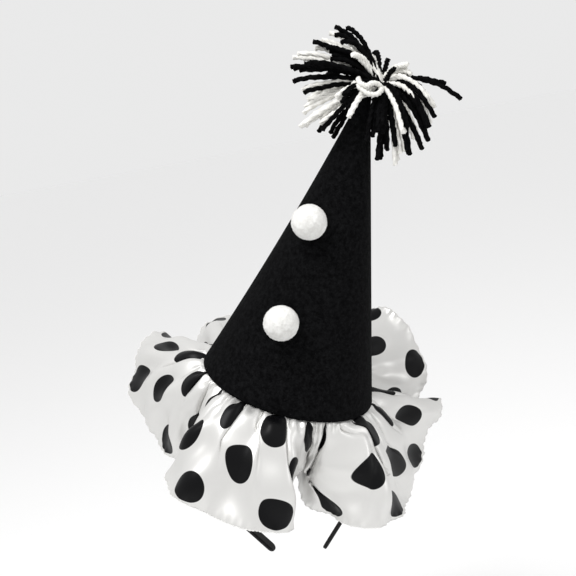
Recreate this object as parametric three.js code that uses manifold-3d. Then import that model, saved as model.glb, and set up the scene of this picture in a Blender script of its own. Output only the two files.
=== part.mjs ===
// Clown cone headband: a felt party cone on a plain head band, tilted to one side,
// with a gathered satin frill under its rim, two round buttons and a yarn pompom.
// Millimetres. +Z up, X from ear to ear, and the wearer looks along -Y.
// The origin is the middle of the band's inner face at its top, where it sits on the head.
import * as THREE from 'three';
import { mergeVertices } from 'three/addons/utils/BufferGeometryUtils.js';
import Module from 'manifold-3d';

// Gap that touching pieces keep
const GAP = 0.3;

// Head band
const HEAD_RADIUS = 55.5;
const BAND_THICKNESS = 3;
const BAND_WIDTH = 8;
const BAND_TURN = 130;
const LEG_LENGTH = 38;

// How the cone stands on the band: its tilt in degrees, and the middle of its rim
const TILT = 27;
const RIM_X = 19;
const RIM_Z = 6.5;

// Felt cone
const RIM_RADIUS = 60;
const TIP_RADIUS = 3;
const CONE_HEIGHT = 202;
const FELT = 2;
const WAIST = 1.2;
const LEAN = 1.2;

// Frill: a strip gathered on a line just inside the cone's rim
const CLOTH = 1.0;
const HEADER = 9;
const GATHER_RADIUS = 58;
const GATHER_DROP = GAP + 0.1 + CLOTH / 2;
const FRILL_WIDTH = 78;

// Felt disc that closes the cone, with a pad under it that is hollowed to the band
const DISC_RADIUS = 55;
const DISC_DROP = GATHER_DROP + CLOTH / 2 + GAP;
const PAD_LENGTH = 36;
const PAD_WIDTH = 14;

// Round buttons: each one's place up the cone as a share of its height, and its turn from the front
const BUTTON_RADIUS = 11.4;
const UPPER_PLACE = 0.587;
const UPPER_TURN = -11.5;
const LOWER_PLACE = 0.275;
const LOWER_TURN = -3.5;

// Pompom: a bundle of yarn tied over the cone's tip, with its knot above the tip and a bit aside
const KNOT_LIFT = 9.3;
const KNOT = new THREE.Vector3(8, -1, CONE_HEIGHT + KNOT_LIFT);
const KNOT_HALF = new THREE.Vector3(17, 15, 8.4);
const YARN_LENGTH = 46;
const LOCK_RADIUS = 4.4;

// The frill's hem, one row for each fold's crest, side and valley, going round the cone.
// turn: where the hem is, in degrees round the cone from +X. slope: how far the straight line
// from the gathers to the hem falls below the rim's plane, in degrees. reach: the length of
// that line as a share of the strip's width. start: the cloth's slope as it leaves the rim.
const FOLDS = [
  { turn: -160, slope: 80, reach: 0.97, start: 35 },
  { turn: -147, slope: 86, reach: 0.93, start: 50 },
  { turn: -136, slope: 92, reach: 0.82, start: 80 },
  { turn: -122, slope: 66, reach: 0.90, start: 40 },
  { turn: -110, slope: 56, reach: 0.95, start: 12 },
  { turn: -96, slope: 57, reach: 0.95, start: 8 },
  { turn: -82, slope: 58, reach: 0.94, start: 8 },
  { turn: -70, slope: 57, reach: 0.93, start: 12 },
  { turn: -62, slope: 66, reach: 0.86, start: 30 },
  { turn: -54, slope: 92, reach: 0.78, start: 70 },
  { turn: -44, slope: 98, reach: 0.77, start: 85 },
  { turn: -36, slope: 93, reach: 0.80, start: 80 },
  { turn: -32, slope: 78, reach: 0.84, start: 60 },
  { turn: -31, slope: 58, reach: 0.88, start: 20 },
  { turn: -27, slope: 49, reach: 0.93, start: 10 },
  { turn: -17, slope: 50, reach: 0.95, start: 25 },
  { turn: -1, slope: 53, reach: 0.97, start: 30 },
  { turn: 15, slope: 51, reach: 0.98, start: 25 },
  { turn: 26, slope: 45, reach: 0.97, start: 20 },
  { turn: 34, slope: 38, reach: 0.94, start: 30 },
  { turn: 37, slope: 28, reach: 0.94, start: 20 },
  { turn: 38, slope: 14, reach: 0.98, start: 6 },
  { turn: 42, slope: 7, reach: 0.97, start: 5 },
  { turn: 47, slope: 26, reach: 0.85, start: 30 },
  { turn: 51, slope: 6, reach: 0.95, start: 20 },
  { turn: 57, slope: -6, reach: 0.97, start: 5 },
  { turn: 66, slope: -20, reach: 0.98, start: 3 },
  { turn: 73, slope: -26, reach: 0.98, start: 3 },
  { turn: 80, slope: -20, reach: 0.97, start: 3 },
  { turn: 89, slope: 14, reach: 0.85, start: 35 },
  { turn: 97, slope: 14, reach: 0.96, start: 8 },
  { turn: 108, slope: 16, reach: 0.97, start: 5 },
  { turn: 117, slope: 40, reach: 0.85, start: 40 },
  { turn: 125, slope: 12, reach: 0.95, start: 6 },
  { turn: 137, slope: 14, reach: 0.97, start: 5 },
  { turn: 146, slope: 36, reach: 0.84, start: 40 },
  { turn: 153, slope: 20, reach: 0.95, start: 8 },
  { turn: 162, slope: 19, reach: 0.97, start: 5 },
  { turn: 171, slope: 32, reach: 0.97, start: 6 },
  { turn: 179, slope: 50, reach: 0.97, start: 8 },
  { turn: 189, slope: 68, reach: 0.97, start: 20 },
];

// The pompom's locks. turn and rise: the direction in which the lock leaves the knot, in
// degrees round the cone and above its rim's plane. length: share of the yarn's length.
// hang: how far the lock's end turns towards the ground, from 0 to 1.
const LOCKS = [
  { turn: 180, rise: 42, length: 0.90, hang: 0.10 },
  { turn: 193, rise: 36, length: 0.98, hang: 0.10 },
  { turn: 208, rise: 34, length: 0.84, hang: 0.15 },
  { turn: 182, rise: 22, length: 1.00, hang: 0.10 },
  { turn: 194, rise: 18, length: 1.06, hang: 0.10 },
  { turn: 189, rise: 4, length: 1.18, hang: 0.10 },
  { turn: 200, rise: -2, length: 1.20, hang: 0.10 },
  { turn: 204, rise: -14, length: 1.08, hang: 0.05 },
  { turn: 206, rise: -30, length: 1.12, hang: 0.05 },
  { turn: 215, rise: -38, length: 1.05, hang: 0.05 },
  { turn: 232, rise: -20, length: 0.74, hang: 0.10 },
  { turn: 228, rise: -44, length: 1.02, hang: 0.00 },
  { turn: 252, rise: -30, length: 0.78, hang: 0.10 },
  { turn: 288, rise: -42, length: 0.86, hang: 0.10 },
  { turn: 305, rise: -52, length: 1.06, hang: 0.10 },
  { turn: 325, rise: -42, length: 0.95, hang: 0.15 },
  { turn: 340, rise: -46, length: 1.02, hang: 0.15 },
  { turn: 325, rise: -24, length: 0.82, hang: 0.15 },
  { turn: 350, rise: -28, length: 0.98, hang: 0.15 },
  { turn: 3, rise: -4, length: 0.80, hang: 0.15 },
  { turn: 18, rise: 12, length: 0.86, hang: 0.10 },
  { turn: 17, rise: 4, length: 1.10, hang: 0.10 },
  { turn: 320, rise: 45, length: 0.48, hang: 0.10 },
  { turn: 60, rise: 60, length: 0.50, hang: 0.10 },
  { turn: 156, rise: -4, length: 0.90, hang: 0.10 },
  { turn: 146, rise: 20, length: 0.82, hang: 0.10 },
  { turn: 172, rise: -30, length: 1.00, hang: 0.10 },
  { turn: 168, rise: -54, length: 1.00, hang: 0.10 },
  { turn: 108, rise: 32, length: 0.70, hang: 0.10 },
  { turn: 72, rise: 18, length: 0.72, hang: 0.10 },
  { turn: 48, rise: -8, length: 0.86, hang: 0.10 },
  { turn: 35, rise: -40, length: 0.94, hang: 0.10 },
  { turn: 58, rise: -62, length: 0.96, hang: 0.10 },
  { turn: 118, rise: -30, length: 0.82, hang: 0.10 },
  { turn: 80, rise: -24, length: 0.84, hang: 0.10 },
];

const radians = THREE.MathUtils.degToRad;

// A closed solid through matching rings of points. Open runs of rings get flat ends.
function solidFromRings(rings, endless) {
  const sides = rings[0].length;
  const count = rings.length;
  const points = rings.flat();
  const index = [];
  const spans = endless ? count : count - 1;
  for (let i = 0; i < spans; i++) {
    for (let j = 0; j < sides; j++) {
      const next = ((i + 1) % count) * sides;
      const side = (j + 1) % sides;
      index.push(i * sides + j, i * sides + side, next + side);
      index.push(i * sides + j, next + side, next + j);
    }
  }
  if (!endless) {
    const middle = (ring) => ring.reduce((sum, p) => sum.add(p), new THREE.Vector3()).divideScalar(sides);
    const first = points.push(middle(rings[0])) - 1;
    const last = points.push(middle(rings[count - 1])) - 1;
    const end = (count - 1) * sides;
    for (let j = 0; j < sides; j++) {
      index.push(first, (j + 1) % sides, j);
      index.push(last, end + j, end + (j + 1) % sides);
    }
  }
  const geometry = new THREE.BufferGeometry().setFromPoints(points);
  geometry.setIndex(index);
  geometry.computeVertexNormals();
  return geometry;
}

function solid(name, geometry, colour, roughness) {
  const material = new THREE.MeshStandardMaterial({ color: colour, roughness, metalness: 0 });
  const mesh = new THREE.Mesh(geometry, material);
  mesh.name = name;
  return mesh;
}

// Head band: a flat strip round an arc and down two straight legs, with rounded tips
function bandGeometry() {
  const radius = HEAD_RADIUS + BAND_THICKNESS / 2;
  const turn = radians(BAND_TURN);
  const arc = radius * turn;
  const whole = arc + LEG_LENGTH;
  const centre = new THREE.Vector3(0, 0, -HEAD_RADIUS);
  const place = (s) => {
    const side = Math.sign(s);
    const run = Math.abs(s);
    const angle = Math.min(run, arc) / radius;
    const outward = new THREE.Vector3(side * Math.sin(angle), 0, Math.cos(angle));
    const along = new THREE.Vector3(Math.cos(angle), 0, -side * Math.sin(angle));
    const point = centre.clone().addScaledVector(outward, radius);
    point.addScaledVector(along, side * Math.max(run - arc, 0));
    return { point, outward };
  };
  const arcSteps = 20;
  const tipSteps = 4;
  const stations = [];
  for (let i = 0; i <= arcSteps; i++) stations.push(arc * i / arcSteps);
  stations.push(arc + LEG_LENGTH / 2);
  for (let i = 0; i <= tipSteps; i++) {
    stations.push(whole - BAND_WIDTH / 2 * (1 - Math.sin(radians(82 * i / tipSteps))));
  }
  const path = [...stations.slice(1).reverse().map((s) => -s), ...stations];
  const rings = path.map((s) => {
    const { point, outward } = place(s);
    const toTip = Math.min((whole - Math.abs(s)) / (BAND_WIDTH / 2), 1);
    const round = Math.sqrt(1 - (1 - toTip) ** 2);
    const halfWidth = BAND_WIDTH / 2 * round;
    const halfThick = BAND_THICKNESS / 2 * (0.4 + 0.6 * round);
    const bevel = 0.25 * BAND_THICKNESS * round;
    const corners = [
      [halfWidth, halfThick - bevel], [halfWidth - bevel, halfThick],
      [bevel - halfWidth, halfThick], [-halfWidth, halfThick - bevel],
      [-halfWidth, bevel - halfThick], [bevel - halfWidth, -halfThick],
      [halfWidth - bevel, -halfThick], [halfWidth, bevel - halfThick],
    ];
    return corners.map(([y, out]) => point.clone().addScaledVector(outward, out).setY(y));
  });
  return solidFromRings(rings, false);
}

// Radius of the cone's felt at a height, and how far its middle leans to +X there
function coneRadius(height) {
  const share = height / CONE_HEIGHT;
  return RIM_RADIUS + (TIP_RADIUS - RIM_RADIUS) * share - 4 * WAIST * share * (1 - share);
}

function coneLean(height) {
  const share = height / CONE_HEIGHT;
  return 4 * LEAN * share * (1 - share);
}

// Felt cone: a thin wall of felt, open at the rim and closed over the tip
function coneGeometry() {
  const steps = 6;
  const profile = [];
  for (let i = 0; i <= steps; i++) {
    const height = CONE_HEIGHT * i / steps;
    profile.push(new THREE.Vector2(coneRadius(height), height));
  }
  profile.push(new THREE.Vector2(0, CONE_HEIGHT));
  const innerTop = CONE_HEIGHT * 0.93;
  profile.push(new THREE.Vector2(0, innerTop));
  for (let i = steps - 1; i >= 0; i--) {
    const height = innerTop * i / (steps - 1);
    profile.push(new THREE.Vector2(Math.max(coneRadius(height) - FELT, 1), height));
  }
  profile.push(profile[0].clone());
  const geometry = new THREE.LatheGeometry(profile, 44);
  const position = geometry.attributes.position;
  for (let i = 0; i < position.count; i++) {
    const height = position.getY(i);
    position.setX(i, position.getX(i) + coneLean(height));
  }
  geometry.rotateX(Math.PI / 2);
  return geometry;
}

// One value of the fold table at a place round the hem, on a smooth closed curve
function smooth(places, values, at) {
  const count = places.length;
  const place = (k) => places[(k + count) % count] + Math.floor(k / count);
  const value = (k) => values[(k + count) % count];
  let i = count - 1;
  while (places[i] > at) i--;
  const [a, b, c, d] = [i - 1, i, i + 1, i + 2].map(place);
  const [p, q, r, s] = [i - 1, i, i + 1, i + 2].map(value);
  const span = c - b;
  const leave = ((r - q) / span * (b - a) + (q - p) / (b - a) * span) / (c - a);
  const arrive = ((s - r) / (d - c) * span + (r - q) / span * (d - c)) / (d - b);
  const u = (at - b) / span;
  return (2 * u ** 3 - 3 * u ** 2 + 1) * q + (u ** 3 - 2 * u ** 2 + u) * span * leave
    + (3 * u ** 2 - 2 * u ** 3) * r + (u ** 3 - u ** 2) * span * arrive;
}

// The fold table as hem points, with each one's place as a share of the hem's length
function hem() {
  const points = FOLDS.map(({ turn, slope, reach }) => {
    const radius = GATHER_RADIUS + FRILL_WIDTH * reach * Math.cos(radians(slope));
    const height = -GATHER_DROP - FRILL_WIDTH * reach * Math.sin(radians(slope));
    return new THREE.Vector3(radius * Math.cos(radians(turn)), radius * Math.sin(radians(turn)), height);
  });
  const runs = points.map((p, i) => p.distanceTo(points[(i + 1) % points.length]));
  const length = runs.reduce((sum, run) => sum + run, 0);
  const places = runs.map((_, i) => runs.slice(0, i).reduce((sum, run) => sum + run, 0) / length);
  return { points, places };
}

// Where the strip's first bit is on the gather line, in degrees: the gathers are even
const FIRST_GATHER = -140;

// The middle of the cloth from the header's inner edge to the hem, at one place along the strip
function clothLine(at, { points, places }, steps) {
  const turn = radians(FIRST_GATHER + 360 * at);
  const out = new THREE.Vector3(Math.cos(turn), Math.sin(turn), 0);
  const gather = out.clone().multiplyScalar(GATHER_RADIUS).setZ(-GATHER_DROP);
  const start = radians(smooth(places, FOLDS.map((fold) => fold.start), at));
  const leave = out.clone().multiplyScalar(Math.cos(start)).setZ(-Math.sin(start));
  const end = new THREE.Vector3(
    smooth(places, points.map((p) => p.x), at),
    smooth(places, points.map((p) => p.y), at),
    smooth(places, points.map((p) => p.z), at),
  );
  const first = gather.clone().addScaledVector(leave, 0.36 * FRILL_WIDTH);
  const second = end.clone().multiplyScalar(0.57).addScaledVector(first, 0.38).addScaledVector(gather, 0.05);
  const curve = new THREE.CubicBezierCurve3(gather, first, second, end);
  const line = [gather.clone().addScaledVector(out, -HEADER)];
  for (let i = 0; i <= steps; i++) line.push(curve.getPoint((i / steps) ** 1.15));
  return line;
}

// Frill: the strip's middle surface, thickened by half the cloth to each side
function frillGeometry() {
  const columns = 160;
  const steps = 7;
  const edge = hem();
  const lines = [];
  for (let i = 0; i < columns; i++) lines.push(clothLine(i / columns, edge, steps));
  const rings = lines.map((line, i) => {
    const before = lines[(i + columns - 1) % columns];
    const after = lines[(i + 1) % columns];
    const normals = line.map((_, j) => {
      const along = after[j].clone().sub(before[j]);
      const down = line[Math.min(j + 1, steps + 1)].clone().sub(line[Math.max(j - 1, 0)]);
      return down.cross(along).normalize();
    });
    const top = line.map((p, j) => p.clone().addScaledVector(normals[j], CLOTH / 2));
    const under = line.map((p, j) => p.clone().addScaledVector(normals[j], -CLOTH / 2));
    return [...top, ...under.reverse()];
  });
  return solidFromRings(rings, true);
}

// The pad under the disc, up to the disc's middle and hollowed to the band's outer face
function padGeometry(arcX, arcZ) {
  const top = -DISC_DROP - FELT / 2;
  const radius = HEAD_RADIUS + BAND_THICKNESS + GAP;
  const half = Math.asin(PAD_LENGTH / 2 / radius);
  const shape = new THREE.Shape();
  shape.moveTo(arcX + PAD_LENGTH / 2, top);
  shape.lineTo(arcX - PAD_LENGTH / 2, top);
  shape.absarc(arcX, arcZ, radius, Math.PI / 2 + half, Math.PI / 2 - half, true);
  const geometry = new THREE.ExtrudeGeometry(shape, { depth: PAD_WIDTH, bevelEnabled: false, curveSegments: 12 });
  geometry.rotateX(Math.PI / 2);
  geometry.translate(0, PAD_WIDTH / 2, 0);
  return geometry;
}

// A round button glued on the cone's front
function button(name, place, turn) {
  const height = CONE_HEIGHT * place;
  const fall = Math.atan2(RIM_RADIUS - TIP_RADIUS, CONE_HEIGHT);
  const angle = radians(turn - 90);
  const reach = coneRadius(height) + (BUTTON_RADIUS + GAP) * Math.cos(fall);
  const mesh = solid(name, new THREE.SphereGeometry(BUTTON_RADIUS, 18, 12), 0xf4f2ec, 0.95);
  mesh.position.set(
    reach * Math.cos(angle) + coneLean(height),
    reach * Math.sin(angle),
    height + (BUTTON_RADIUS + GAP) * Math.sin(fall),
  );
  return mesh;
}

// One lock of yarn, from inside the knot to its blunt end, kept off the cone's side
function lockGeometry({ turn, rise, length, hang }) {
  const ground = new THREE.Vector3(Math.sin(radians(TILT)), 0, -Math.cos(radians(TILT)));
  const leave = new THREE.Vector3(
    Math.cos(radians(turn)) * Math.cos(radians(rise)),
    Math.sin(radians(turn)) * Math.cos(radians(rise)),
    Math.sin(radians(rise)),
  );
  const reach = YARN_LENGTH * length;
  const turned = leave.clone().lerp(ground, hang).normalize();
  const bend = leave.clone().multiplyScalar(0.45 * reach);
  const end = bend.clone().addScaledVector(turned, 0.55 * reach);
  const curve = new THREE.QuadraticBezierCurve3(new THREE.Vector3(), bend, end);
  const steps = 4;
  const sides = 5;
  const rings = [];
  for (let i = 0; i <= steps; i++) {
    const share = i / steps;
    const point = curve.getPoint(share).add(KNOT);
    const keep = coneRadius(Math.min(point.z, CONE_HEIGHT)) + LOCK_RADIUS + 1.5;
    const radius = Math.hypot(point.x, point.y);
    if (point.z < CONE_HEIGHT + LOCK_RADIUS && radius < keep) {
      point.x *= keep / radius;
      point.y *= keep / radius;
    }
    const along = curve.getTangent(share);
    const across = new THREE.Vector3(0, 0, 1).cross(along);
    if (across.length() < 0.1) across.set(1, 0, 0);
    across.normalize();
    const up = along.clone().cross(across).normalize();
    const thick = LOCK_RADIUS * (0.75 + 0.5 * Math.sin(Math.PI * (0.15 + 0.75 * share)));
    const ring = [];
    for (let j = 0; j < sides; j++) {
      const angle = 2 * Math.PI * j / sides;
      ring.push(point.clone()
        .addScaledVector(across, thick * Math.cos(angle))
        .addScaledVector(up, thick * Math.sin(angle)));
    }
    rings.push(ring);
  }
  return solidFromRings(rings, false);
}

// Turn a closed geometry into a solid that can be joined, and back
function toManifold(wasm, geometry) {
  const bare = geometry.clone();
  bare.deleteAttribute('normal');
  bare.deleteAttribute('uv');
  const merged = mergeVertices(bare, 0.0001);
  return new wasm.Manifold(new wasm.Mesh({
    numProp: 3,
    vertProperties: new Float32Array(merged.attributes.position.array),
    triVerts: new Uint32Array(merged.index.array),
  }));
}

function fromManifold(joined) {
  const { vertProperties, triVerts } = joined.getMesh();
  const geometry = new THREE.BufferGeometry();
  geometry.setAttribute('position', new THREE.BufferAttribute(new Float32Array(vertProperties), 3));
  geometry.setIndex(new THREE.BufferAttribute(new Uint32Array(triVerts), 1));
  geometry.computeVertexNormals();
  return geometry;
}

// The room that the cone's tip takes, with the gap round it
function tipRoom() {
  const low = CONE_HEIGHT * 0.6;
  const top = CONE_HEIGHT + GAP;
  const profile = [
    new THREE.Vector2(0, low),
    new THREE.Vector2(coneRadius(low) + coneLean(low) + GAP, low),
    new THREE.Vector2(coneRadius(CONE_HEIGHT) + 2 * GAP, top),
    new THREE.Vector2(0, top),
  ];
  return new THREE.LatheGeometry(profile, 24).rotateX(Math.PI / 2);
}

// Felt disc and its pad as one piece, where the band's arc has its centre at arcX, arcZ
function discGeometry(wasm, arcX, arcZ) {
  const disc = new THREE.CylinderGeometry(DISC_RADIUS, DISC_RADIUS, FELT, 60);
  disc.rotateX(Math.PI / 2);
  disc.translate(0, 0, -DISC_DROP - FELT / 2);
  return fromManifold(toManifold(wasm, disc).add(toManifold(wasm, padGeometry(arcX, arcZ))));
}

// Pompom: the knot with every lock joined to it, cut clear of the cone's tip
function pompomGeometry(wasm) {
  const core = new THREE.SphereGeometry(1, 16, 10);
  core.scale(KNOT_HALF.x, KNOT_HALF.y, KNOT_HALF.z);
  core.translate(KNOT.x, KNOT.y, KNOT.z);
  let joined = toManifold(wasm, core);
  for (const lock of LOCKS) joined = joined.add(toManifold(wasm, lockGeometry(lock)));
  return fromManifold(joined.subtract(toManifold(wasm, tipRoom())));
}

// The cone with all that hangs on it, in the cone's own frame: Z up its axis from the rim
const hat = new THREE.Group();
hat.position.set(RIM_X, 0, RIM_Z);
hat.rotation.y = radians(TILT);

const arcCentre = new THREE.Vector3(-RIM_X, 0, -HEAD_RADIUS - RIM_Z);
arcCentre.applyAxisAngle(new THREE.Vector3(0, 1, 0), -radians(TILT));

const wasm = await Module();
wasm.setup();

hat.add(
  solid('felt_cone', coneGeometry(), 0x0e0e10, 0.95),
  solid('satin_frill', frillGeometry(), 0xf3f1ea, 0.45),
  solid('base_disc', discGeometry(wasm, arcCentre.x, arcCentre.z), 0x141414, 0.95),
  button('button_upper', UPPER_PLACE, UPPER_TURN),
  button('button_lower', LOWER_PLACE, LOWER_TURN),
  solid('yarn_pompom', pompomGeometry(wasm), 0x8a8986, 0.9),
);

const headpiece = new THREE.Group();
headpiece.add(solid('head_band', bandGeometry(), 0x0c0c0d, 0.55), hat);

export default headpiece;
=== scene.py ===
# %% [markdown]
# # A clown cone headband
# The real thing is a tall cone of black felt on a thin head band. A strip of spotted satin is
# gathered under its rim, two white pom buttons sit on its front, and a bundle of black and
# white yarn is tied over its tip. The solids are loaded first as a fixed frame. Each soft
# piece that shows is then made again as its own fine mesh in the place of its solid.

# %% Load the frame
import math
import random

import bmesh
import bpy
import numpy as np
from mathutils import Matrix, Vector, noise


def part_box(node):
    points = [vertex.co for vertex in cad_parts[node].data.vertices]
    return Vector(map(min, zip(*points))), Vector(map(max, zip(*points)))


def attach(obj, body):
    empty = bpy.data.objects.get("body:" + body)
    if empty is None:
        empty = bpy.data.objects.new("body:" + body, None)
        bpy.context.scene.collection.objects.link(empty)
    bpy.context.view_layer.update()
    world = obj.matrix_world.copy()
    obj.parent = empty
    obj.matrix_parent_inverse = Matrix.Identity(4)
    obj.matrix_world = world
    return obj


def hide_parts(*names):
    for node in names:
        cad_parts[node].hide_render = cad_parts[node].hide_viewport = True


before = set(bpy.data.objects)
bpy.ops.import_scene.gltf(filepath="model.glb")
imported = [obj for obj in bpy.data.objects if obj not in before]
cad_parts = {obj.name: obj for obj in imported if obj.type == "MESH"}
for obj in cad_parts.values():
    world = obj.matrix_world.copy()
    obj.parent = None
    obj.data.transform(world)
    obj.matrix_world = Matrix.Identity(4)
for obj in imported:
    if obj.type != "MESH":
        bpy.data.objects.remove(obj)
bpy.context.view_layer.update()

# %% [markdown]
# ## Sizes
# The hat's sizes are in millimetres, as a maker would measure them, and the hat frame below
# turns them into metres. It has its origin in the middle of the cone's rim and Z up the cone,
# so every piece on the tilted cone can be shaped as if the cone stood upright. The camera, the
# lights and the floor are placed in metres.

# %% Sizes and the hat frame
MM = 0.001
TILT = 27
RIM_CENTRE = Vector((19, 0, 6.5))
RIM_RADIUS = 60
TIP_RADIUS = 3
CONE_HEIGHT = 202
FELT = 2
WAIST = 1.2
LEAN = 1.2
GATHER_RADIUS = 58
GATHER_DROP = 0.9
HEADER = 6
FRILL_WIDTH = 78
KNOT = Vector((8, -1, 211))

to_metres = Matrix.Scale(MM, 4)
hat_frame = to_metres @ Matrix.Translation(RIM_CENTRE) @ Matrix.Rotation(math.radians(TILT), 4, "Y")
print("knot of the pompom", tuple(round(c, 4) for c in hat_frame @ KNOT))


def cone_radius(height):
    """The cone's outside radius at a height: nearly straight, with a slight waist."""
    share = height / CONE_HEIGHT
    return RIM_RADIUS + (TIP_RADIUS - RIM_RADIUS) * share - 4 * WAIST * share * (1 - share)


def cone_lean(height):
    """How far the cone's middle bows to +X at a height."""
    share = height / CONE_HEIGHT
    return 4 * LEAN * share * (1 - share)


# %% [markdown]
# ## Camera
# The photograph looks slightly down at the hat from its front and a little from one side.
# The camera turns round the hat, looks down, and rolls about 12 degrees. Its own axes are kept,
# because the yarn of the pompom is laid out as it is seen from the front.

# %% Camera
VIEW_TURN = 20.4
VIEW_DOWN = 11.0
VIEW_ROLL = -11.85
VIEW_DISTANCE = 0.75
VIEW_TARGET = Vector((0.0243, 0.0224, 0.0658))
LENS = 66.96

camera_data = bpy.data.cameras.new("camera")
camera_data.sensor_width = 36
camera_data.lens = LENS
camera = bpy.data.objects.new("camera", camera_data)
bpy.context.scene.collection.objects.link(camera)
bpy.context.scene.camera = camera

view_turn = (
    Matrix.Rotation(math.radians(VIEW_TURN), 3, "Z")
    @ Matrix.Rotation(math.radians(90 - VIEW_DOWN), 3, "X")
    @ Matrix.Rotation(math.radians(VIEW_ROLL), 3, "Z")
)
across, upward, nearer = view_turn.col
camera.rotation_mode = "QUATERNION"
camera.rotation_quaternion = view_turn.to_quaternion()
camera.location = VIEW_TARGET + nearer * VIEW_DISTANCE
print("camera at", tuple(round(c, 3) for c in camera.location))

# %% [markdown]
# ## Light
# Product photographs of this kind are lit from all round, with one large soft light above.
# A white sky fills the shadows, a big key panel to the upper left models the folds of the
# satin, and a smaller and weaker one from the right lightens their shaded side.

# %% Sky, panels and floor
SKY_STRENGTH = 0.82
KEY_POWER = 9.5
SIDE_POWER = 1.0
FLOOR_DROP = 0.34

scene = bpy.context.scene
scene.view_settings.view_transform = "Standard"
world = bpy.data.worlds.new("studio")
world.use_nodes = True
world.node_tree.nodes["Background"].inputs["Color"].default_value = (1, 1, 1, 1)
world.node_tree.nodes["Background"].inputs["Strength"].default_value = SKY_STRENGTH
scene.world = world


def light_panel(name, place, size, power):
    """A square area light that faces the middle of the hat."""
    data = bpy.data.lights.new(name, "AREA")
    data.size = size
    data.energy = power
    panel = bpy.data.objects.new(name, data)
    scene.collection.objects.link(panel)
    panel.location = VIEW_TARGET + place
    panel.rotation_mode = "QUATERNION"
    panel.rotation_quaternion = (-place).to_track_quat("-Z", "Y")


light_panel("key_panel", place=nearer * 0.7 + upward * 0.75 - across * 0.45, size=0.5, power=KEY_POWER)
light_panel("side_panel", place=nearer * 0.4 + upward * 0.25 + across * 0.9, size=0.4, power=SIDE_POWER)


def new_piece(name, bm, material, place=None):
    """Turn a bmesh into a smooth-shaded piece with its material, moved into place if a matrix is given."""
    if place is not None:
        bmesh.ops.transform(bm, matrix=place, verts=bm.verts)
    mesh = bpy.data.meshes.new(name)
    for face in bm.faces:
        face.smooth = True
    bm.to_mesh(mesh)
    bm.free()
    mesh.materials.append(material)
    piece = bpy.data.objects.new(name, mesh)
    scene.collection.objects.link(piece)
    print(name, len(mesh.polygons), "faces")
    return piece


# %% [markdown]
# ## Shader groups
# Felt, nap and yarn are all loose fibre, so one group gives fibre noise as a colour factor
# and a height. A second group prints the spots, in rows that shift by half a step, as on a
# printed cloth.

# %% Helpers for node trees
def new_group(name, inputs, outputs):
    """An empty shader group with named sockets, given as (name, kind, default) and (name, kind)."""
    group = bpy.data.node_groups.new(name, "ShaderNodeTree")
    for label, kind, default in inputs:
        socket = group.interface.new_socket(label, in_out="INPUT", socket_type=kind)
        if default is not None:
            socket.default_value = default
    for label, kind in outputs:
        group.interface.new_socket(label, in_out="OUTPUT", socket_type=kind)
    start = group.nodes.new("NodeGroupInput")
    end = group.nodes.new("NodeGroupOutput")
    return group, start, end


def math_node(tree, operation, first, second=None):
    """A math node whose inputs are sockets or plain numbers."""
    node = tree.nodes.new("ShaderNodeMath")
    node.operation = operation
    for socket, value in zip(node.inputs, (first, second)):
        if value is None:
            continue
        if isinstance(value, (int, float)):
            socket.default_value = value
        else:
            tree.links.new(value, socket)
    return node.outputs[0]


# %% Fibre group
def fibre_group():
    """Loose fibre: a fine tangle over soft clumps. Gives a factor from 0 to 1 and a height."""
    group, start, end = new_group(
        "loose_fibre",
        [("Vector", "NodeSocketVector", None), ("Fibre Size", "NodeSocketFloat", 900.0),
         ("Clump Size", "NodeSocketFloat", 120.0)],
        [("Factor", "NodeSocketFloat"), ("Height", "NodeSocketFloat")],
    )
    fine = group.nodes.new("ShaderNodeTexNoise")
    fine.inputs["Detail"].default_value = 6
    fine.inputs["Roughness"].default_value = 0.7
    fine.inputs["Distortion"].default_value = 1.6
    clump = group.nodes.new("ShaderNodeTexNoise")
    clump.inputs["Detail"].default_value = 3
    for node, size in ((fine, "Fibre Size"), (clump, "Clump Size")):
        group.links.new(start.outputs["Vector"], node.inputs["Vector"])
        group.links.new(start.outputs[size], node.inputs["Scale"])
    weight = math_node(group, "MULTIPLY", clump.outputs["Fac"], 0.4)
    height = math_node(group, "MULTIPLY_ADD", fine.outputs["Fac"], 0.6)
    group.links.new(weight, height.node.inputs[2])
    spread = group.nodes.new("ShaderNodeMapRange")
    spread.inputs["From Min"].default_value = 0.42
    spread.inputs["From Max"].default_value = 0.66
    group.links.new(height, spread.inputs["Value"])
    group.links.new(spread.outputs["Result"], end.inputs["Factor"])
    group.links.new(height, end.inputs["Height"])
    return group


loose_fibre = fibre_group()


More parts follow.
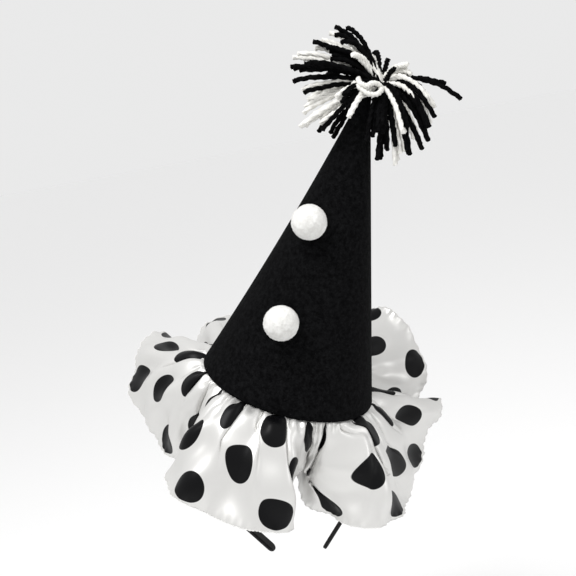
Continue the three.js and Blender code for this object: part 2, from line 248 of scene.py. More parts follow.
# %% Spot group
def spot_group():
    """Round spots in shifted rows. The vector is the place on the cloth in millimetres."""
    group, start, end = new_group(
        "spot_rows",
        [("Vector", "NodeSocketVector", None), ("Step", "NodeSocketFloat", 58.0),
         ("Row", "NodeSocketFloat", 28.0), ("Radius", "NodeSocketFloat", 11.0),
         ("Edge", "NodeSocketFloat", 0.3)],
        [("Spot", "NodeSocketFloat")],
    )
    split = group.nodes.new("ShaderNodeSeparateXYZ")
    group.links.new(start.outputs["Vector"], split.inputs[0])
    row = math_node(group, "DIVIDE", split.outputs["Y"], start.outputs["Row"])
    row_number = math_node(group, "FLOOR", row)
    odd = math_node(group, "PINGPONG", row_number, 1.0)
    shift = math_node(group, "MULTIPLY", odd, 0.5)
    column = math_node(group, "DIVIDE", split.outputs["X"], start.outputs["Step"])
    column = math_node(group, "ADD", column, shift)
    sideways = math_node(group, "SUBTRACT", math_node(group, "FRACT", column), 0.5)
    sideways = math_node(group, "MULTIPLY", sideways, start.outputs["Step"])
    along = math_node(group, "SUBTRACT", math_node(group, "FRACT", row), 0.5)
    along = math_node(group, "MULTIPLY", along, start.outputs["Row"])
    flat = group.nodes.new("ShaderNodeCombineXYZ")
    group.links.new(sideways, flat.inputs[0])
    group.links.new(along, flat.inputs[1])
    length = group.nodes.new("ShaderNodeVectorMath")
    length.operation = "LENGTH"
    group.links.new(flat.outputs[0], length.inputs[0])
    inside = math_node(group, "SUBTRACT", start.outputs["Radius"], length.outputs["Value"])
    mask = math_node(group, "DIVIDE", inside, start.outputs["Edge"])
    mask.node.use_clamp = True
    group.links.new(mask, end.inputs["Spot"])
    return group


spot_rows = spot_group()


# %% Material helpers
def new_material(name, colour, roughness):
    """A material with a Principled shader, and its node tree."""
    material = bpy.data.materials.new(name)
    material.use_nodes = True
    shader = material.node_tree.nodes["Principled BSDF"]
    shader.inputs["Base Color"].default_value = (*colour, 1)
    shader.inputs["Roughness"].default_value = roughness
    return material, material.node_tree, shader


def mix_colours(tree, factor, first, second):
    """Mix two plain colours by a factor, and give the result's socket."""
    node = tree.nodes.new("ShaderNodeMix")
    node.data_type = "RGBA"
    tree.links.new(factor, node.inputs["Factor"])
    node.inputs[6].default_value = (*first, 1)
    node.inputs[7].default_value = (*second, 1)
    return node.outputs[2]


def add_bump(tree, shader, height, strength, distance):
    """Drive the shader's normal by a height, with the bump's depth in millimetres."""
    bump = tree.nodes.new("ShaderNodeBump")
    bump.inputs["Strength"].default_value = strength
    bump.inputs["Distance"].default_value = distance * MM
    tree.links.new(height, bump.inputs["Height"])
    tree.links.new(bump.outputs["Normal"], shader.inputs["Normal"])


def fibre_material(name, dark, light, fibre, clump, depth, sheen, roughness=0.95):
    """A fibrous finish for felt, nap and yarn, on the piece's own coordinates."""
    material, tree, shader = new_material(name, light, roughness)
    place = tree.nodes.new("ShaderNodeTexCoord")
    group = tree.nodes.new("ShaderNodeGroup")
    group.node_tree = loose_fibre
    group.inputs["Fibre Size"].default_value = fibre
    group.inputs["Clump Size"].default_value = clump
    tree.links.new(place.outputs["Object"], group.inputs["Vector"])
    colour = mix_colours(tree, group.outputs["Factor"], dark, light)
    tree.links.new(colour, shader.inputs["Base Color"])
    add_bump(tree, shader, group.outputs["Height"], 0.7, depth)
    shader.inputs["Sheen Weight"].default_value = sheen
    shader.inputs["Sheen Roughness"].default_value = 0.5
    shader.inputs["Specular IOR Level"].default_value = 0.04
    return material


# %% [markdown]
# ## Felt cone
# Craft felt rolled to a cone: matt and nearly black, with a faint nap. Vertices are
# placed on the cone's outline, outside and inside, and spun round the axis. Spinning one
# outline keeps the wall's thickness true everywhere, which two separate cones would not.

# %% Black felt
black_felt = fibre_material(
    "black_felt", (0.0013, 0.0013, 0.0015), (0.0078, 0.008, 0.0086),
    fibre=620, clump=340, depth=0.9, sheen=0.0)


# %% Cone
CONE_STEPS = 40
CONE_SIDES = 160
SOLID_TIP_STEPS = 3
MERGE = 0.001


def spin_outline(outline, turns):
    """Spin an open outline of (radius, height) points round Z, with its ends on the axis merged."""
    bm = bmesh.new()
    points = [bm.verts.new((radius, 0, height)) for radius, height in outline]
    edges = [bm.edges.new(pair) for pair in zip(points, points[1:])]
    bmesh.ops.spin(bm, geom=points + edges, cent=(0, 0, 0), axis=(0, 0, 1),
                   angle=math.tau, steps=turns, use_merge=True)
    bmesh.ops.remove_doubles(bm, verts=bm.verts, dist=MERGE)
    bmesh.ops.recalc_face_normals(bm, faces=bm.faces)
    return bm


heights = [CONE_HEIGHT * i / CONE_STEPS for i in range(CONE_STEPS + 1)]
outline = [(cone_radius(h) - FELT, h) for h in reversed(heights[:-SOLID_TIP_STEPS])]
outline = [(0, outline[0][1])] + outline
outline += [(RIM_RADIUS - 0.35, 0.0), (RIM_RADIUS - 0.05, 0.25)]
outline += [(cone_radius(h), h) for h in heights[1:-1]]
outline += [(TIP_RADIUS, CONE_HEIGHT - 0.6), (TIP_RADIUS - 0.6, CONE_HEIGHT), (0, CONE_HEIGHT)]
cone_mesh = spin_outline(outline, CONE_SIDES)
for vert in cone_mesh.verts:
    vert.co.x += cone_lean(vert.co.z)
cone = new_piece("felt_cone_skin", cone_mesh, black_felt, hat_frame)
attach(cone, "root")
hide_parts("felt_cone")

# %% [markdown]
# ## Satin frill
# A strip about a metre long is gathered to the rim's short line, so it stands in deep soft
# lobes at the hem and breaks into small puckers at the rim. It could be a cloth simulation,
# but then the lobes would fall where they like. Here a grid is the flat strip itself, and a
# table of folds says where its hem goes, so each lobe stands where the photograph shows it.
# Nothing keeps the cloth off itself, so it crosses itself in the tight valley at the front and
# in the gathers. It has to be mended there before it is simulated.

# %% Fold table
# turn: degrees round the cone from +X. slope: how far the line from gathers to hem falls
# below the rim's plane. reach: that line's length as a share of the strip's width.
# start: the slope of the cloth as it leaves the rim.
FOLDS = [
    (-160, 80, 0.97, 35), (-150, 84, 0.94, 50), (-145, 98, 0.82, 62), (-139, 106, 0.73, 75),
    (-132, 94, 0.78, 62), (-124, 68, 0.90, 12),
    (-110, 56, 0.95, 16), (-96, 57, 0.95, 18), (-82, 58, 0.94, 18), (-70, 57, 0.93, 18),
    (-61, 61, 0.90, 14), (-57, 82, 0.80, 40), (-54, 108, 0.68, 70), (-48, 112, 0.66, 80),
    (-43, 96, 0.78, 70), (-37, 84, 0.82, 50), (-32, 68, 0.86, 30), (-30, 55, 0.90, 12),
    (-25, 49, 0.93, 10), (-15, 50, 0.95, 20), (-1, 53, 0.97, 30), (15, 51, 0.98, 25),
    (26, 45, 0.97, 20), (34, 38, 0.94, 30), (37, 28, 0.94, 20), (38, 14, 0.98, 6),
    (42, 7, 0.97, 5), (47, 26, 0.85, 30), (51, 6, 0.95, 20), (57, -6, 0.97, 5),
    (66, -20, 0.98, 3), (73, -26, 0.98, 3), (80, -20, 0.97, 3), (89, 14, 0.85, 35),
    (97, 14, 0.96, 8), (108, 16, 0.97, 5), (117, 40, 0.85, 40), (125, 12, 0.95, 6),
    (137, 14, 0.97, 5), (146, 36, 0.84, 40), (153, 20, 0.95, 8), (162, 19, 0.97, 5),
    (171, 32, 0.97, 6), (179, 50, 0.97, 8), (189, 68, 0.97, 20),
]
# Millimetres of cloth crowded in after the row at a turn, or drawn out where below 0.
BUNCHED = {-54: 4, -48: 4, -43: 5, -37: 3, -25: -3, -15: -5, -1: -5, 15: -3}
FIRST_GATHER = -145
turn, slope, reach, start_slope = np.array(FOLDS, float).T

# %% [markdown]
# Gathered cloth doesn't shrink evenly. It is pinched into deep narrow creases, and between two
# pinches it stands out in a round puff of nearly smooth cloth. Each row is one pinch: its
# turn at the rim, the turn that its cloth would have if the gathers were even, how deep it is,
# and how far down the cloth it ends.

# %% Pinch table
PINCHES = [
    # turn, even turn, depth, ends
    (-133, -134, 7, 56), (-121, -123, 10, 74), (-112, -112, 4, 18), (-99, -95, 7, 50),
    (-88, -86, 6, 22), (-72, -71, 11, 76), (-60, -59, 4, 20), (-54, -48, 4, 22),
    (-46, -31, 11, 70), (-36, -23, 4, 14), (-27, -16, 3, 12), (-10, -3, 8, 66),
    (-2, 4, 5, 50), (8, 11, 5, 40), (18, 20, 6, 42), (31, 32, 6, 42), (44, 45, 8, 46),
    (58, 58, 5, 36), (74, 74, 5, 40), (89, 89, 8, 50), (103, 103, 5, 36), (117, 117, 8, 50),
    (131, 131, 5, 36), (146, 146, 8, 50), (158, 158, 5, 36), (171, 171, 6, 42),
    (184, 184, 5, 36), (196, 196, 7, 46), (208, 208, 5, 32), (217, 217, 6, 36),
]
# How tightly the cloth crowds into a pinch, from 0 for evenly to 1.
PUFF_TIGHT = 0.95


def smooth_closed(places, values, at):
    """Smooth closed curve through values at uneven places between 0 and 1."""
    count = len(places)
    i = np.searchsorted(places, at, side="right") - 1
    a, b, c, d = (places[(i + k) % count] + (i + k) // count for k in (-1, 0, 1, 2))
    p, q, r, s = (values[(i + k) % count] for k in (-1, 0, 1, 2))
    leave = ((r - q) / (c - b) * (b - a) + (q - p) / (b - a) * (c - b)) / (c - a)
    arrive = ((s - r) / (d - c) * (c - b) + (r - q) / (c - b) * (d - c)) / (d - b)
    u, span = (at - b) / (c - b), c - b
    return ((2 * u**3 - 3 * u**2 + 1) * q + (u**3 - 2 * u**2 + u) * span * leave
            + (3 * u**2 - 2 * u**3) * r + (u**3 - u**2) * span * arrive)


def ramp(low, high, value):
    """Smooth step from 0 at low to 1 at high."""
    share = np.clip((value - low) / (high - low), 0, 1)
    return share * share * (3 - 2 * share)


# %% Hem line
HEM_SLACK = 1.02

hem_radius = GATHER_RADIUS + FRILL_WIDTH * reach * np.cos(np.radians(slope))
hem_points = np.stack([
    hem_radius * np.cos(np.radians(turn)),
    hem_radius * np.sin(np.radians(turn)),
    -GATHER_DROP - FRILL_WIDTH * reach * np.sin(np.radians(slope)),
], axis=1)
hem_runs = np.linalg.norm(np.roll(hem_points, -1, axis=0) - hem_points, axis=1)
hem_runs += [BUNCHED.get(row[0], 0) for row in FOLDS]
hem_places = np.concatenate([[0], np.cumsum(hem_runs)[:-1]]) / hem_runs.sum()
STRIP_LENGTH = float(hem_runs.sum()) * HEM_SLACK
print("strip length", round(STRIP_LENGTH), "mm, gathered to", round(math.tau * GATHER_RADIUS), "mm")


# %% Cloth surface
# The cloth runs from rim to hem on a curve with two handles. The first is this share of the
# width away from the rim, and the second is mixed from the hem, the first one and the rim.
FIRST_HANDLE = 0.36
SECOND_HANDLE = (0.70, 0.28, 0.02)
HEADER_DEPTH = 1.6
PUCKER_DEPTH = 1.7
PLEAT_DEPTH = 0.9
FOLD_DEPTH = 1.3
DENT_DEPTH = 2.6
RIPPLE_DEPTH = 0.55


def bare_cloth(at, down):
    """The cloth without creases. at runs along the strip, down is the distance from the gathers."""
    angle = np.radians(FIRST_GATHER + 360 * at)
    out = np.stack([np.cos(angle), np.sin(angle), 0 * angle], axis=-1)
    gather = out * GATHER_RADIUS - np.array([0, 0, GATHER_DROP])
    begin = np.radians(smooth_closed(hem_places, start_slope, at))[..., None]
    leave = out * np.cos(begin) - np.array([0, 0, 1]) * np.sin(begin)
    end = np.stack([smooth_closed(hem_places, hem_points[:, k], at) for k in range(3)], axis=-1)
    first = gather + leave * FIRST_HANDLE * FRILL_WIDTH
    to_hem, to_first, to_rim = SECOND_HANDLE
    second = to_hem * end + to_first * first + to_rim * gather
    s = np.clip(down / FRILL_WIDTH, 0, 1)[..., None]
    curve = ((1 - s)**3 * gather + 3 * (1 - s)**2 * s * first
             + 3 * (1 - s) * s**2 * second + s**3 * end)
    return curve + out * np.minimum(down, 0)[..., None]


def puffs(at, down):
    """For each bit of cloth: its share of the way between two pinches, their depth, its turn at the rim."""
    rows = np.array(PINCHES + [(PINCHES[0][0] + 360, PINCHES[0][1] + 360, *PINCHES[0][2:])], float)
    even_turn = (FIRST_GATHER + 360 * at - rows[0, 1]) % 360 + rows[0, 1]
    i = np.clip(np.searchsorted(rows[:, 1], even_turn, side="right") - 1, 0, len(PINCHES) - 1)
    before, after = rows[i], rows[i + 1]
    between = (even_turn - before[..., 1]) / (after[..., 1] - before[..., 1])
    share = ramp(0, 1, between)
    fades = [row[..., 2] * (1 - ramp(0.25 * row[..., 3], row[..., 3], down)) for row in (before, after)]
    deep = fades[0] * (1 - share) + fades[1] * share
    puffed = between - PUFF_TIGHT / math.tau * np.sin(math.tau * between)
    rim_turn = before[..., 0] + puffed * (after[..., 0] - before[..., 0])
    return between, deep, rim_turn - even_turn


def crease_depth(at, down):
    """How far the cloth stands out of its bare surface: puffs, small folds and gather puckers."""
    between, deep, _ = puffs(at, down)
    wave = math.tau * at
    puckers = np.sin(84 * wave + 2.2 * np.sin(7 * wave + 0.6) + 1.5 * np.sin(17 * wave + 2))
    pleats = np.sin(38 * wave + 2.5 * np.sin(5 * wave + 1.1) + 1.3 * np.sin(11 * wave))
    folds = np.sin(21 * wave + 1.9 * np.sin(3 * wave + 2) + 1.1 * np.sin(8 * wave + 4))
    lively = 0.75 + 0.45 * np.sin(9 * wave + 1.3) * np.sin(4 * wave + 0.4)
    below = np.clip(down, 0, None)
    round_puff = np.abs(np.sin(math.pi * between))**0.6 - 0.62
    depth = deep * round_puff * (0.12 + 0.88 * ramp(0, 11, down)) * ramp(-3, 0, down)
    depth += HEADER_DEPTH * (1 + puckers) * (1 - ramp(-4, -0.5, down))
    near_rim = (0.3 + 0.7 * ramp(0.5, 3, down)) * ramp(-3, -1, down) * np.exp(-(below / 6.5)**2)
    depth += (PUCKER_DEPTH * puckers + 0.5) * near_rim
    depth += PLEAT_DEPTH * lively * pleats * ramp(1.5, 8, down) * (1 - ramp(10, 26, down))
    depth += FOLD_DEPTH * lively * folds * ramp(14, 30, down) * (1 - ramp(46, 78, down))
    dents = (np.sin(13 * wave + 0.055 * down + 1.7) * np.sin(5 * wave + 0.03 * down + 0.5)
             + np.sin(24 * wave - 0.05 * down + 2.1 * np.sin(3 * wave)) * np.sin(0.09 * down + 7 * wave))
    depth += DENT_DEPTH * dents * ramp(14, 38, down)
    return depth


# %% [markdown]
# The grid keeps the UV map that it is made with, so a spot stays where it was printed on the
# flat strip, however the cloth folds. The hem gets a fine ripple, because an overlocked edge
# is a little longer than the cloth that it closes.

# %% Frill
ALONG, DOWN = 640, 62


def frill_points(along, down_steps):
    """Rows of points over the whole cloth, in the hat frame."""
    at, down = np.meshgrid(np.arange(along + 1) / along % 1,
                           np.linspace(-HEADER, FRILL_WIDTH, down_steps + 1), indexing="ij")
    _, deep, pull = puffs(at, down)
    drawn = at + np.clip(deep / 4, 0, 1) * pull / 360
    bare = bare_cloth(drawn % 1, down)
    ring = bare[:-1]
    sideways = np.roll(ring, -1, axis=0) - np.roll(ring, 1, axis=0)
    downward = np.gradient(ring, axis=1)
    normal = np.cross(downward, sideways)
    normal /= np.linalg.norm(normal, axis=-1, keepdims=True) + 1e-9
    normal = np.concatenate([normal, normal[:1]])
    wave = math.tau * at
    ripple = (np.sin(150 * wave + 3 * np.sin(13 * wave)) + 0.6 * np.sin(61 * wave + 2 * np.sin(9 * wave)))
    ripple = RIPPLE_DEPTH * ripple * ramp(FRILL_WIDTH - 9, FRILL_WIDTH, down)
    depth = crease_depth(at, down) + ripple
    return bare + normal * depth[..., None]


cloth_points = frill_points(ALONG, DOWN)
frill_mesh = bmesh.new()
frill_mesh.loops.layers.uv.new("strip")
bmesh.ops.create_grid(frill_mesh, x_segments=ALONG, y_segments=DOWN, size=0.5, calc_uvs=True)
for vert in frill_mesh.verts:
    column = round((vert.co.x + 0.5) * ALONG)
    row = round((vert.co.y + 0.5) * DOWN)
    vert.co = Vector(cloth_points[column, row])
bmesh.ops.remove_doubles(frill_mesh, verts=[v for v in frill_mesh.verts if v.is_boundary], dist=MERGE)
bmesh.ops.recalc_face_normals(frill_mesh, faces=frill_mesh.faces)

# %% [markdown]
# ## Satin
# Satin is smooth and glossy across its long floating threads, with broad soft highlights.
# The spots are a black print on it and are duller, so they mask the gloss. The weave is far
# too fine to model, so it is bump.

# %% White satin with spots
SATIN_WHITE = (0.67, 0.665, 0.65)
SPOT_BLACK = (0.0025, 0.0025, 0.003)
SATIN_GLOSS = 0.5
SPOT_STEPS = 16
SPOT_ROW = 26.5
SPOT_RADIUS = 11.8
SPOT_SLIDE = 0
SPOT_DROP = 22.5
CLOTH_THICKNESS = 0.35


def satin_material():
    """White satin with printed spots, on the strip's UV map."""
    material, tree, shader = new_material("white_satin", SATIN_WHITE, 0.38)
    strip = tree.nodes.new("ShaderNodeUVMap")
    strip.uv_map = "strip"
    cloth = tree.nodes.new("ShaderNodeMapping")
    cloth.inputs["Scale"].default_value = (STRIP_LENGTH, FRILL_WIDTH + HEADER, 1)
    cloth.inputs["Location"].default_value = (SPOT_SLIDE, SPOT_DROP, 0)
    tree.links.new(strip.outputs["UV"], cloth.inputs["Vector"])
    spots = tree.nodes.new("ShaderNodeGroup")
    spots.node_tree = spot_rows
    spots.inputs["Step"].default_value = STRIP_LENGTH / SPOT_STEPS
    spots.inputs["Row"].default_value = SPOT_ROW
    spots.inputs["Radius"].default_value = SPOT_RADIUS
    tree.links.new(cloth.outputs["Vector"], spots.inputs["Vector"])
    colour = mix_colours(tree, spots.outputs["Spot"], SATIN_WHITE, SPOT_BLACK)
    tree.links.new(colour, shader.inputs["Base Color"])
    weave = tree.nodes.new("ShaderNodeTexNoise")
    weave.inputs["Scale"].default_value = 1.0
    weave.inputs["Detail"].default_value = 4
    threads = tree.nodes.new("ShaderNodeMapping")
    threads.inputs["Scale"].default_value = (STRIP_LENGTH * 2.2, (FRILL_WIDTH + HEADER) * 0.35, 1)
    tree.links.new(strip.outputs["UV"], threads.inputs["Vector"])
    tree.links.new(threads.outputs["Vector"], weave.inputs["Vector"])
    add_bump(tree, shader, weave.outputs["Fac"], 0.25, 0.08)
    shader.inputs["Anisotropic"].default_value = 0.35
    plain = math_node(tree, "SUBTRACT", 1.0, spots.outputs["Spot"])
    gloss = math_node(tree, "MULTIPLY", plain, SATIN_GLOSS)
    tree.links.new(gloss, shader.inputs["Metallic"])
    shader.inputs["Specular IOR Level"].default_value = 0.12
    return material


white_satin = satin_material()
frill = new_piece("satin_frill_cloth", frill_mesh, white_satin, hat_frame)
wall = frill.modifiers.new("cloth thickness", "SOLIDIFY")
wall.thickness = CLOTH_THICKNESS * MM
wall.offset = 0
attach(frill, "root")
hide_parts("satin_frill")

# %% [markdown]
# The hem is overlocked: a fine white thread is looped closely over the raw edge. At this size
# it reads as a row of tiny beads, so one thin tube follows the hem, thick at each loop and
# thin between them.

# %% Hem thread
THREAD_RADIUS = 0.42
LOOP_LENGTH = 2.1
LOOP_POINTS = 3

thread_white = fibre_material(
    "white_thread", (0.72, 0.715, 0.70), (0.84, 0.835, 0.82),
    fibre=2600, clump=900, depth=0.12, sheen=0.2, roughness=0.7)


def round_section(name, radius, sides):
    """A small closed curve to sweep along a thread or a strand."""
    data = bpy.data.curves.new(name, "CURVE")
    data.dimensions = "2D"
    spline = data.splines.new("POLY")
    spline.points.add(sides - 1)
    for i, point in enumerate(spline.points):
        angle = math.tau * i / sides
        size = radius(angle) * MM
        point.co = (size * math.cos(angle), size * math.sin(angle), 0, 1)
    spline.use_cyclic_u = True
    section = bpy.data.objects.new(name, data)
    scene.collection.objects.link(section)
    return section


def swept_mesh(name, paths, section, closed=False):
    """Sweep a section along paths of (place, radius share, twist) in the hat frame."""
    data = bpy.data.curves.new(name, "CURVE")
    data.dimensions = "3D"
    data.bevel_mode = "OBJECT"
    data.bevel_object = section
    data.use_fill_caps = not closed
    for path in paths:
        spline = data.splines.new("POLY")
        spline.points.add(len(path) - 1)
        spline.use_cyclic_u = closed
        for point, (place, share, twist) in zip(spline.points, path):
            point.co = (*(hat_frame @ Vector(place)), 1)
            point.radius = share
            point.tilt = twist
    curve = bpy.data.objects.new(name, data)
    scene.collection.objects.link(curve)
    mesh = bpy.data.meshes.new_from_object(curve.evaluated_get(bpy.context.evaluated_depsgraph_get()))
    for thing in (curve, section):
        bpy.data.objects.remove(thing)
    mesh.materials.clear()
    for polygon in mesh.polygons:
        polygon.use_smooth = True
    return mesh


def add_swept_piece(name, mesh, material, node):
    """Link a swept mesh as a piece that replaces a node."""
    mesh.materials.append(material)
    piece = bpy.data.objects.new(name, mesh)
    scene.collection.objects.link(piece)
    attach(piece, "root")
    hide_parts(node)
    print(name, len(mesh.polygons), "faces")
    return piece


loops = round(STRIP_LENGTH / LOOP_LENGTH)
hem_edge = frill_points(loops * LOOP_POINTS, DOWN)[:-1, -1]
hem_path = [(place, 0.8 + 0.45 * math.cos(math.tau * i / LOOP_POINTS), 0)
            for i, place in enumerate(hem_edge)]
thread_section = round_section("thread_section", lambda _: THREAD_RADIUS, 6)
hem_mesh = swept_mesh("hem_thread", [hem_path], thread_section, closed=True)
hem_thread = add_swept_piece("hem_thread", hem_mesh, thread_white, "satin_frill")

# %% [markdown]
# ## Pom buttons
# Craft poms are balls of trimmed fibre: round from afar, slightly lumpy close by, with a
# short nap that softens the outline. An icosphere is pushed in and out by noise for the
# lumps, and short fibres stand out all over it.

# %% White nap
white_nap = fibre_material(
    "white_nap", (0.70, 0.695, 0.67), (0.84, 0.835, 0.82),
    fibre=1300, clump=260, depth=0.35, sheen=0.3)


# %% Buttons
POM_CORE = 0.975
LUMP_DEPTH = 0.014
NAP_DEPTH = 0.010
TUFT_LENGTH = 0.05


def pom_button(name, node):
    """A napped ball in the middle of its solid's box."""
    low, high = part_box(node)
    middle = (Vector(low) + Vector(high)) / 2
    radius = (high[2] - low[2]) / 2
    bm = bmesh.new()
    bmesh.ops.create_icosphere(bm, subdivisions=5, radius=1)
    for vert in bm.verts:
        lump = noise.noise(vert.co * 3.1 + middle * 90) * LUMP_DEPTH
        nap = noise.noise(vert.co * 17 + middle * 50) * NAP_DEPTH
        vert.co *= POM_CORE + lump + nap
    tufts = bmesh.ops.poke(bm, faces=bm.faces)["verts"]
    chance = random.Random(name)
    for vert in tufts:
        vert.co *= 1 + chance.random()**2 * TUFT_LENGTH
    place = Matrix.Translation(middle) @ Matrix.Scale(radius, 4)
    piece = new_piece(name, bm, white_nap, place)
    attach(piece, "root")
    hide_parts(node)


pom_button("button_upper_pom", "button_upper")
pom_button("button_lower_pom", "button_lower")

# %% [markdown]
# ## Yarn pompom
# The pompom is a hank of black and white yarn laid over the tip, tied in the middle, so its
# ends fall to both sides in bunches. Each strand is a curve with a three-lobed section that
# turns along it, which gives the plies of real yarn. The table below gives each bunch's end
# as it is seen from the front, in millimetres from the knot.

# %% Bunches of yarn
# across, up, near: where the bunch ends. arch: how far its middle stands above a straight
# line. count: strands. spread: how far the ends scatter. colour: b or w.
BUNCHES = [
    (-22, 35, 2, 9, 1, 1, "b"), (-29, 35, 6, 8, 1, 1, "b"), (-29, 30, 10, 7, 1, 1, "b"),
    (-26, 24, 14, 9, 1, 1, "b"), (-34, 31, -6, 6, 4, 4, "w"), (-36, 25, -2, 5, 3, 4, "w"),
    (-43, 26, 4, 4, 1, 1, "b"), (-33, 19, 8, 5, 4, 3, "b"), (-52, 18, -4, 4, 4, 4, "w"),
    (-56, 10, 4, 4, 2, 2, "b"), (-49, 12, 0, 4, 3, 3, "b"), (-44, 12, 10, 4, 3, 3, "b"),
    (-54, 3, 4, 4, 2, 2, "b"), (-49, -1, 2, 3, 2, 2, "w"), (-47, -5, 6, 3, 1, 1, "b"),
    (-47, -14, 0, 3, 3, 3, "w"), (-48, -24, 0, 4, 4, 3, "w"), (-38, -22, 4, 4, 3, 3, "w"),
    (-28, -10, 14, 3, 2, 2, "w"), (-38, -28, 8, 4, 1, 1, "b"), (-24, -14, 14, 4, 5, 3, "b"),
    (-22, -22, 18, 5, 2, 1, "w"), (-19, 17, 14, 5, 2, 1, "w"), (-8, -34, 14, 5, 3, 3, "b"),
    (-3, -48, 10, 6, 1, 1, "b"), (6, -39, 12, 7, 2, 2, "b"), (8, -47, 2, 7, 2, 2, "w"),
    (13, -41, 6, 7, 2, 2, "w"), (12, -32, 16, 7, 2, 1, "w"), (16, -44, 8, 8, 2, 1, "b"),
    (14, -28, 16, 8, 2, 2, "b"), (23, -38, 8, 9, 2, 2, "b"), (29, -34, 4, 9, 2, 1, "b"),
    (28, -27, 10, 10, 2, 1, "b"), (30, -23, 6, 10, 2, 2, "w"), (32, -22, 10, 10, 1, 1, "b"),
    (31, -14, 4, 8, 5, 3, "w"), (17, 10, 4, 4, 4, 3, "w"), (40, 2, 0, 3, 1, 1, "b"),
    (50, -8, -2, 6, 1, 1, "b"), (4, 17, 2, 2, 1, 1, "b"), (7, 9, 13, 3, 1, 1, "b"),
    (-2, -30, 16, 5, 4, 3, "b"), (-30, 12, -24, 8, 4, 5, "b"), (-18, 26, -20, 8, 4, 5, "w"),
    (-40, -6, -20, 6, 4, 5, "w"), (-30, -26, -22, 6, 4, 5, "b"), (-6, 20, -20, 6, 3, 4, "b"),
    (14, 9, -22, 5, 4, 3, "w"), (30, -6, -22, 8, 4, 5, "b"), (22, -30, -20, 8, 5, 5, "w"),
    (4, -36, -24, 8, 5, 5, "b"), (-10, -6, -34, 8, 4, 5, "b"), (12, -8, -34, 8, 4, 5, "w"),
]
YARN_RADIUS = 1.8
STRAND_POINTS = 22
PLY_TWIST = 0.88
WANDER = 1.4
TIP_CLEARANCE = 0.4
SIDE_CLEARANCE = 0.9

yarn_white = fibre_material(
    "white_yarn", (0.72, 0.71, 0.67), (0.90, 0.89, 0.86),
    fibre=1400, clump=300, depth=0.3, sheen=0.35)
yarn_black = fibre_material(
    "black_yarn", (0.0008, 0.0008, 0.001), (0.006, 0.006, 0.0065),
    fibre=1400, clump=300, depth=0.3, sheen=0.0)

tip_axes = np.array([across, upward, nearer])
hat_turn = np.array((Matrix.Rotation(math.radians(TILT), 3, "Y")).inverted())
seen_axes = tip_axes @ hat_turn.T


def keep_off_cone(point):
    """Move a point of yarn outwards until it clears the cone's felt."""
    if point[2] > CONE_HEIGHT + YARN_RADIUS + TIP_CLEARANCE:
        return point
    keep = cone_radius(min(point[2], CONE_HEIGHT)) + YARN_RADIUS + SIDE_CLEARANCE
    away = np.array([point[0] - cone_lean(point[2]), point[1]])
    distance = np.linalg.norm(away)
    if distance < keep:
        point[:2] += away / max(distance, 0.01) * (keep - distance)
    return point


def strand_path(end, arch, wander, chance):
    """Points of one strand from inside the knot to its cut end, in the hat frame."""
    start = np.array([chance.uniform(-2.5, 2.5), chance.uniform(-2, 2), chance.uniform(-2.5, 2.5)])
    end = np.array(end, float)
    bow = np.array([0, arch, 0.25 * arch])
    sway = np.array([chance.gauss(0, wander) for _ in range(3)])
    points = []
    for i in range(STRAND_POINTS):
        t = i / (STRAND_POINTS - 1)
        bend = 4 * t * (1 - t)
        wiggle = 0.35 * math.sin(5.5 * t * math.pi + sway[0] * 3) * t
        seen = start * (1 - t) + end * t + bow * bend + sway * bend * 0.5
        seen[1] += wiggle
        points.append(keep_off_cone(np.array(KNOT) + seen @ seen_axes))
    points.append(points[-1] + (points[-1] - points[-2]) * 0.2)
    return points


# %% [markdown]
# One curve object holds all strands of a colour. Its bevel is a small closed curve with
# three lobes, and each point's tilt turns that section a little further, like twisted plies.

# %% Yarn strands
def ply_radius(angle):
    """The yarn's radius round its section: three plies show as three lobes."""
    return YARN_RADIUS * (0.86 + 0.17 * math.cos(3 * angle))


def yarn_piece(name, paths, material):
    """All strands of one colour as one piece, with turning plies and blunt cut ends."""
    twisted = []
    for path in paths:
        last = len(path) - 1
        twisted.append([(place, 0.6 if i == last else 1, PLY_TWIST * i) for i, place in enumerate(path)])
    mesh = swept_mesh(name, twisted, round_section("ply_section", ply_radius, 12))
    print(len(paths), "strands")
    add_swept_piece(name, mesh, material, "yarn_pompom")


chance = random.Random(7)
strands = {"b": [], "w": []}
for x, y, near, arch, count, spread, colour in BUNCHES:
    for _ in range(count):
        end = [value + chance.gauss(0, spread * 0.7) for value in (x, y, near)]
        strands[colour].append(strand_path(end, arch, WANDER, chance))
yarn_piece("yarn_black", strands["b"], yarn_black)
yarn_piece("yarn_white", strands["w"], yarn_white)

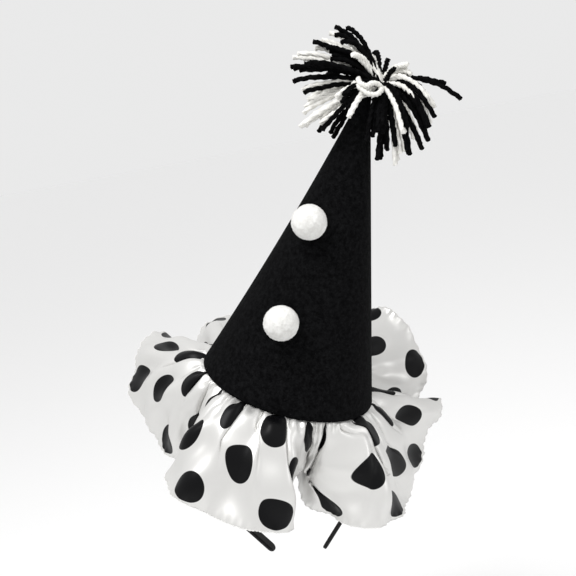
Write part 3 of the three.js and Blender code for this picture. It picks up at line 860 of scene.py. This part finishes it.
# %% Tie
TIE = [(-18, 0, 9), (-16, -2, 12), (-13, -5, 14), (-9, -8, 15), (-4, -8, 14), (-1, -5, 11),
       (-1, -3, 8), (-3, -1, 10), (-7, -1, 13), (-10, -3, 15), (-13, -2, 15), (-15, 0, 13), (-15, 3, 10)]


def smooth_path(points, steps):
    """More points on a smooth open curve through the given ones."""
    points = np.array(points, float)
    padded = np.concatenate([2 * points[:1] - points[1:2], points, 2 * points[-1:] - points[-2:-1]])
    path = []
    for i in range(1, len(points)):
        a, b, c, d = padded[i - 1:i + 3]
        for k in range(steps):
            t = k / steps
            path.append(0.5 * (2 * b + (c - a) * t + (2 * a - 5 * b + 4 * c - d) * t**2
                               + (3 * b - a - 3 * c + d) * t**3))
    path.append(points[-1])
    return path


tie_path = [np.array(KNOT) + point @ seen_axes for point in smooth_path(TIE, 5)]
yarn_piece("yarn_tie", [tie_path], yarn_white)

# %% [markdown]
# ## Disc and band
# The disc is hidden and the band is a plain bent strip, so both keep their solids. The disc
# gets the cone's felt, and the band is black plastic with a very fine grain.

# %% Finishes of the two solids
def finish_solid(node, material):
    """Give a solid that stays as it is its finish."""
    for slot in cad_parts[node].material_slots:
        slot.material = material


finish_solid("base_disc", black_felt)

band_black, band_tree, band_shader = new_material("band_black", (0.002, 0.002, 0.0022), 0.45)
band_place = band_tree.nodes.new("ShaderNodeTexCoord")
band_grain = band_tree.nodes.new("ShaderNodeTexNoise")
band_grain.inputs["Scale"].default_value = 1400
band_tree.links.new(band_place.outputs["Object"], band_grain.inputs["Vector"])
add_bump(band_tree, band_shader, band_grain.outputs["Fac"], 0.3, 0.05)
band_shader.inputs["Specular IOR Level"].default_value = 0.2
finish_solid("head_band", band_black)

# %% [markdown]
# ## Floor
# A plain pale floor lies well below the band's tips, because the headband is held up as if
# on a head.

# %% Floor
floor_mesh = bmesh.new()
bmesh.ops.create_grid(floor_mesh, x_segments=1, y_segments=1, size=8)
bmesh.ops.translate(floor_mesh, verts=floor_mesh.verts, vec=(0, 0, -FLOOR_DROP))
floor_white, _, _ = new_material("floor_white", (0.99, 0.99, 0.99), 0.9)
floor = new_piece("floor", floor_mesh, floor_white)
